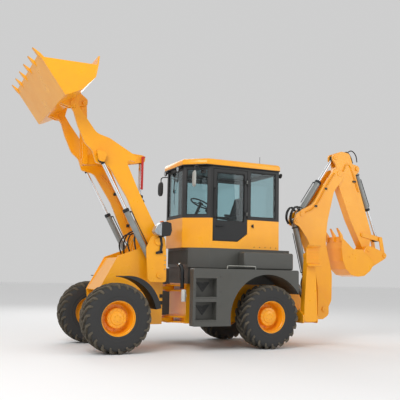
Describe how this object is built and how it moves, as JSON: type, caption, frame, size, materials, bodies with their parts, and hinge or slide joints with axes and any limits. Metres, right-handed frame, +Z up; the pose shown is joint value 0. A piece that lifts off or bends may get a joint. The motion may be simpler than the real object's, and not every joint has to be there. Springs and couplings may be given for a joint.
{
  "type": "backhoe loader",
  "caption": "Centre-hinged backhoe loader with a front bucket on raised lift arms, a rear digging arm on a swing post, flip-up stabilisers and an enclosed cab.",
  "frame": {"origin": "on the ground under the middle of the machine's overall box", "axes": "+X to the front, where the loader bucket is; +Y to the machine's left; +Z up"},
  "size_m": [7.3875, 2.14, 4.542],
  "materials": {
    "yellow_paint": "gloss enamel",
    "grey_paint": "satin enamel",
    "black_paint": "satin enamel",
    "tyre_rubber": "matt moulded rubber",
    "barrel_steel": "satin enamel on steel",
    "rod_chrome": "polished hard chrome",
    "seat_cloth": "woven cover",
    "engine_iron": "rough casting",
    "cab_plastic": "moulded"
  },
  "bodies": {
    "rear": {"rear_frame": "yellow_paint", "engine": "engine_iron", "rear_axle": "yellow_paint", "deck": "grey_paint", "fender_left": "grey_paint", "fender_right": "grey_paint", "cab_base": "yellow_paint", "cab_frame": "black_paint", "cab_roof": "yellow_paint", "seat": "seat_cloth", "steering_console": "cab_plastic"},
    "front": {"front_frame": "yellow_paint", "front_axle": "yellow_paint", "mudguard_left": "black_paint", "mudguard_right": "black_paint"},
    "wheel_front_left": {"rim_front_left": "yellow_paint", "tyre_front_left": "tyre_rubber"},
    "wheel_front_right": {"rim_front_right": "yellow_paint", "tyre_front_right": "tyre_rubber"},
    "wheel_rear_left": {"rim_rear_left": "yellow_paint", "tyre_rear_left": "tyre_rubber"},
    "wheel_rear_right": {"rim_rear_right": "yellow_paint", "tyre_rear_right": "tyre_rubber"},
    "door_left": {"door_left": "black_paint"},
    "door_right": {"door_right": "black_paint"},
    "arms": {"loader_arms": "yellow_paint"},
    "lift_barrels": {"lift_barrel_left": "barrel_steel", "lift_barrel_right": "barrel_steel"},
    "lift_rods": {"lift_rod_left": "rod_chrome", "lift_rod_right": "rod_chrome"},
    "tilt_barrel": {"tilt_barrel": "barrel_steel"},
    "tilt_rod": {"tilt_rod": "rod_chrome"},
    "bell_crank": {"bell_crank": "yellow_paint"},
    "tilt_link": {"tilt_link": "yellow_paint"},
    "loader_bucket": {"loader_bucket": "yellow_paint"},
    "swing_post": {"swing_post": "yellow_paint"},
    "boom": {"boom": "yellow_paint"},
    "boom_barrel": {"boom_barrel": "barrel_steel"},
    "boom_rod": {"boom_rod": "rod_chrome"},
    "stick": {"stick": "yellow_paint"},
    "crowd_barrel": {"crowd_barrel": "barrel_steel"},
    "crowd_rod": {"crowd_rod": "rod_chrome"},
    "hoe_bucket": {"hoe_bucket": "yellow_paint"},
    "hoe_rocker": {"hoe_rocker": "yellow_paint"},
    "hoe_link": {"hoe_link": "yellow_paint"},
    "hoe_bucket_barrel": {"hoe_bucket_barrel": "barrel_steel"},
    "hoe_bucket_rod": {"hoe_bucket_rod": "rod_chrome"},
    "stabiliser_leg_left": {"stabiliser_leg_left": "yellow_paint"},
    "stabiliser_pad_left": {"stabiliser_pad_left": "yellow_paint"},
    "stabiliser_barrel_left": {"stabiliser_barrel_left": "barrel_steel"},
    "stabiliser_rod_left": {"stabiliser_rod_left": "rod_chrome"},
    "stabiliser_leg_right": {"stabiliser_leg_right": "yellow_paint"},
    "stabiliser_pad_right": {"stabiliser_pad_right": "yellow_paint"},
    "stabiliser_barrel_right": {"stabiliser_barrel_right": "barrel_steel"},
    "stabiliser_rod_right": {"stabiliser_rod_right": "rod_chrome"}
  },
  "joints": [
    {"name": "steering", "type": "hinge", "parent": "rear", "child": "front", "pos_m": [0.9999, 0, 0.5375], "axis": [0, 0, 1], "range_deg": [-33, 33]},
    {"name": "front_wheel_left", "type": "hinge", "parent": "front", "child": "wheel_front_left", "pos_m": [2.1919, 0.811, 0.5375], "axis": [0, 1, 0], "continuous": true},
    {"name": "rear_wheel_left", "type": "hinge", "parent": "rear", "child": "wheel_rear_left", "pos_m": [-0.4921, 0.811, 0.5375], "axis": [0, 1, 0], "continuous": true},
    {"name": "front_wheel_right", "type": "hinge", "parent": "front", "child": "wheel_front_right", "pos_m": [2.1919, -0.811, 0.5375], "axis": [0, 1, 0], "continuous": true},
    {"name": "rear_wheel_right", "type": "hinge", "parent": "rear", "child": "wheel_rear_right", "pos_m": [-0.4921, -0.811, 0.5375], "axis": [0, 1, 0], "continuous": true},
    {"name": "door_left", "type": "hinge", "parent": "rear", "child": "door_left", "pos_m": [-0.1701, 0.694, 2.4], "axis": [0, 0, 1], "range_deg": [0, 95]},
    {"name": "door_right", "type": "hinge", "parent": "rear", "child": "door_right", "pos_m": [-0.1701, -0.694, 2.4], "axis": [0, 0, -1], "range_deg": [0, 95]},
    {"name": "arm_lift", "type": "hinge", "parent": "front", "child": "arms", "pos_m": [1.4499, 0, 1.75], "axis": [0, -1, 0], "range_deg": [-90.5, 0]},
    {"name": "lift_barrel_turn", "type": "hinge", "parent": "front", "child": "lift_barrels", "pos_m": [1.4149, 0, 1.2], "axis": [0, -1, 0], "range_deg": [-79.28, 1]},
    {"name": "lift_rod_slide", "type": "slide", "parent": "lift_barrels", "child": "lift_rods", "axis": [0.4873, 0, 0.8733], "range_m": [-0.705, 0.01]},
    {"name": "tilt_barrel_turn", "type": "hinge", "parent": "front", "child": "tilt_barrel", "pos_m": [1.6069, 0, 1.8], "axis": [0, -1, 0], "range_deg": [-100.22, 1]},
    {"name": "bucket_tilt", "type": "hinge", "parent": "arms", "child": "loader_bucket", "pos_m": [2.9349, 0, 3.9], "axis": [0, 1, 0], "range_deg": [-40, 80]},
    {"name": "tilt_rod_slide", "type": "slide", "parent": "tilt_barrel", "child": "tilt_rod", "axis": [-0.0121, 0, 0.9999], "range_m": [-0.305, 0.157]},
    {"name": "crank_turn", "type": "hinge", "parent": "arms", "child": "bell_crank", "pos_m": [2.1799, 0, 3.17], "axis": [0, 1, 0], "range_deg": [-30.44, 15.72]},
    {"name": "tilt_link_turn", "type": "hinge", "parent": "loader_bucket", "child": "tilt_link", "pos_m": [2.6499, 0, 4.04], "axis": [0, 1, 0], "range_deg": [-68.87, 34.94]},
    {"name": "swing", "type": "hinge", "parent": "rear", "child": "swing_post", "pos_m": [-1.8701, 0, 0.7], "axis": [0, 0, 1], "range_deg": [-90, 90]},
    {"name": "boom_lower", "type": "hinge", "parent": "swing_post", "child": "boom", "pos_m": [-2.1401, 0, 0.62], "axis": [0, -1, 0], "range_deg": [0, 105]},
    {"name": "boom_barrel_turn", "type": "hinge", "parent": "boom", "child": "boom_barrel", "pos_m": [-1.5801, 0, 2.3], "axis": [0, -1, 0], "range_deg": [-1, 15.76]},
    {"name": "boom_rod_slide", "type": "slide", "parent": "boom_barrel", "child": "boom_rod", "axis": [-0.2416, 0, -0.9704], "range_m": [-0.01, 0.766]},
    {"name": "stick_out", "type": "hinge", "parent": "boom", "child": "stick", "pos_m": [-2.5801, 0, 3.3], "axis": [0, 1, 0], "range_deg": [0, 115]},
    {"name": "crowd_barrel_turn", "type": "hinge", "parent": "boom", "child": "crowd_barrel", "pos_m": [-1.6801, 0, 2.43], "axis": [0, 1, 0], "range_deg": [-7.28, 1]},
    {"name": "crowd_rod_slide", "type": "slide", "parent": "crowd_barrel", "child": "crowd_rod", "axis": [-0.5674, 0, 0.8234], "range_m": [-0.545, 0.01]},
    {"name": "hoe_bucket_open", "type": "hinge", "parent": "stick", "child": "hoe_bucket", "pos_m": [-3.2501, 0, 1.8], "axis": [0, 1, 0], "range_deg": [0, 80]},
    {"name": "rocker_turn", "type": "hinge", "parent": "stick", "child": "hoe_rocker", "pos_m": [-3.1601, 0, 2.1], "axis": [0, 1, 0], "range_deg": [-1, 77.16]},
    {"name": "hoe_link_turn", "type": "hinge", "parent": "hoe_bucket", "child": "hoe_link", "pos_m": [-3.6501, 0, 1.69], "axis": [0, 1, 0], "range_deg": [-75.43, 1]},
    {"name": "hoe_barrel_turn", "type": "hinge", "parent": "stick", "child": "hoe_bucket_barrel", "pos_m": [-3.0501, 0, 3.44], "axis": [0, 1, 0], "range_deg": [-1, 1.03]},
    {"name": "hoe_rod_slide", "type": "slide", "parent": "hoe_bucket_barrel", "child": "hoe_bucket_rod", "axis": [-0.3554, 0, -0.9347], "range_m": [-0.55, 0.01]},
    {"name": "stabiliser_left", "type": "hinge", "parent": "rear", "child": "stabiliser_leg_left", "pos_m": [-1.3301, 0.86, 0.5], "axis": [-1, 0, 0], "range_deg": [0, 113]},
    {"name": "pad_left", "type": "hinge", "parent": "stabiliser_leg_left", "child": "stabiliser_pad_left", "pos_m": [-1.3301, 0.86, 1.6], "axis": [1, 0, 0], "range_deg": [0, 45]},
    {"name": "stabiliser_barrel_turn_left", "type": "hinge", "parent": "rear", "child": "stabiliser_barrel_left", "pos_m": [-1.3301, 0.25, 1.25], "axis": [-1, 0, 0], "range_deg": [-2.82, 1]},
    {"name": "stabiliser_rod_slide_left", "type": "slide", "parent": "stabiliser_barrel_left", "child": "stabiliser_rod_left", "axis": [0, 0.7485, -0.6631], "range_m": [-0.01, 0.425]},
    {"name": "stabiliser_right", "type": "hinge", "parent": "rear", "child": "stabiliser_leg_right", "pos_m": [-1.3301, -0.86, 0.5], "axis": [1, 0, 0], "range_deg": [0, 113]},
    {"name": "pad_right", "type": "hinge", "parent": "stabiliser_leg_right", "child": "stabiliser_pad_right", "pos_m": [-1.3301, -0.86, 1.6], "axis": [-1, 0, 0], "range_deg": [0, 45]},
    {"name": "stabiliser_barrel_turn_right", "type": "hinge", "parent": "rear", "child": "stabiliser_barrel_right", "pos_m": [-1.3301, -0.25, 1.25], "axis": [1, 0, 0], "range_deg": [-2.82, 1]},
    {"name": "stabiliser_rod_slide_right", "type": "slide", "parent": "stabiliser_barrel_right", "child": "stabiliser_rod_right", "axis": [0, -0.7485, -0.6631], "range_m": [-0.01, 0.425]}
  ],
  "couplings": [
    {"joint": "lift_barrel_turn", "follows": "arm_lift", "ratio": 0.86503},
    {"joint": "lift_rod_slide", "follows": "arm_lift", "m_per_rad": 0.44031},
    {"joint": "tilt_barrel_turn", "follows": "arm_lift", "ratio": 1.0963},
    {"joint": "tilt_rod_slide", "follows": "bucket_tilt", "m_per_rad": -0.211},
    {"joint": "crank_turn", "follows": "bucket_tilt", "ratio": -0.36799},
    {"joint": "tilt_link_turn", "follows": "bucket_tilt", "ratio": -0.84839},
    {"joint": "boom_barrel_turn", "follows": "boom_lower", "ratio": 0.14052},
    {"joint": "boom_rod_slide", "follows": "boom_lower", "m_per_rad": 0.41232},
    {"joint": "crowd_barrel_turn", "follows": "stick_out", "ratio": -0.05462},
    {"joint": "crowd_rod_slide", "follows": "stick_out", "m_per_rad": -0.26676},
    {"joint": "rocker_turn", "follows": "hoe_bucket_open", "ratio": 0.952},
    {"joint": "hoe_link_turn", "follows": "hoe_bucket_open", "ratio": -0.93036},
    {"joint": "hoe_barrel_turn", "follows": "hoe_bucket_open", "ratio": 0.0004},
    {"joint": "hoe_rod_slide", "follows": "hoe_bucket_open", "m_per_rad": -0.38674},
    {"joint": "stabiliser_barrel_turn_left", "follows": "stabiliser_left", "ratio": -0.01614},
    {"joint": "stabiliser_rod_slide_left", "follows": "stabiliser_left", "m_per_rad": 0.21064},
    {"joint": "stabiliser_barrel_turn_right", "follows": "stabiliser_right", "ratio": -0.01614},
    {"joint": "stabiliser_rod_slide_right", "follows": "stabiliser_right", "m_per_rad": 0.21064}
  ]
}
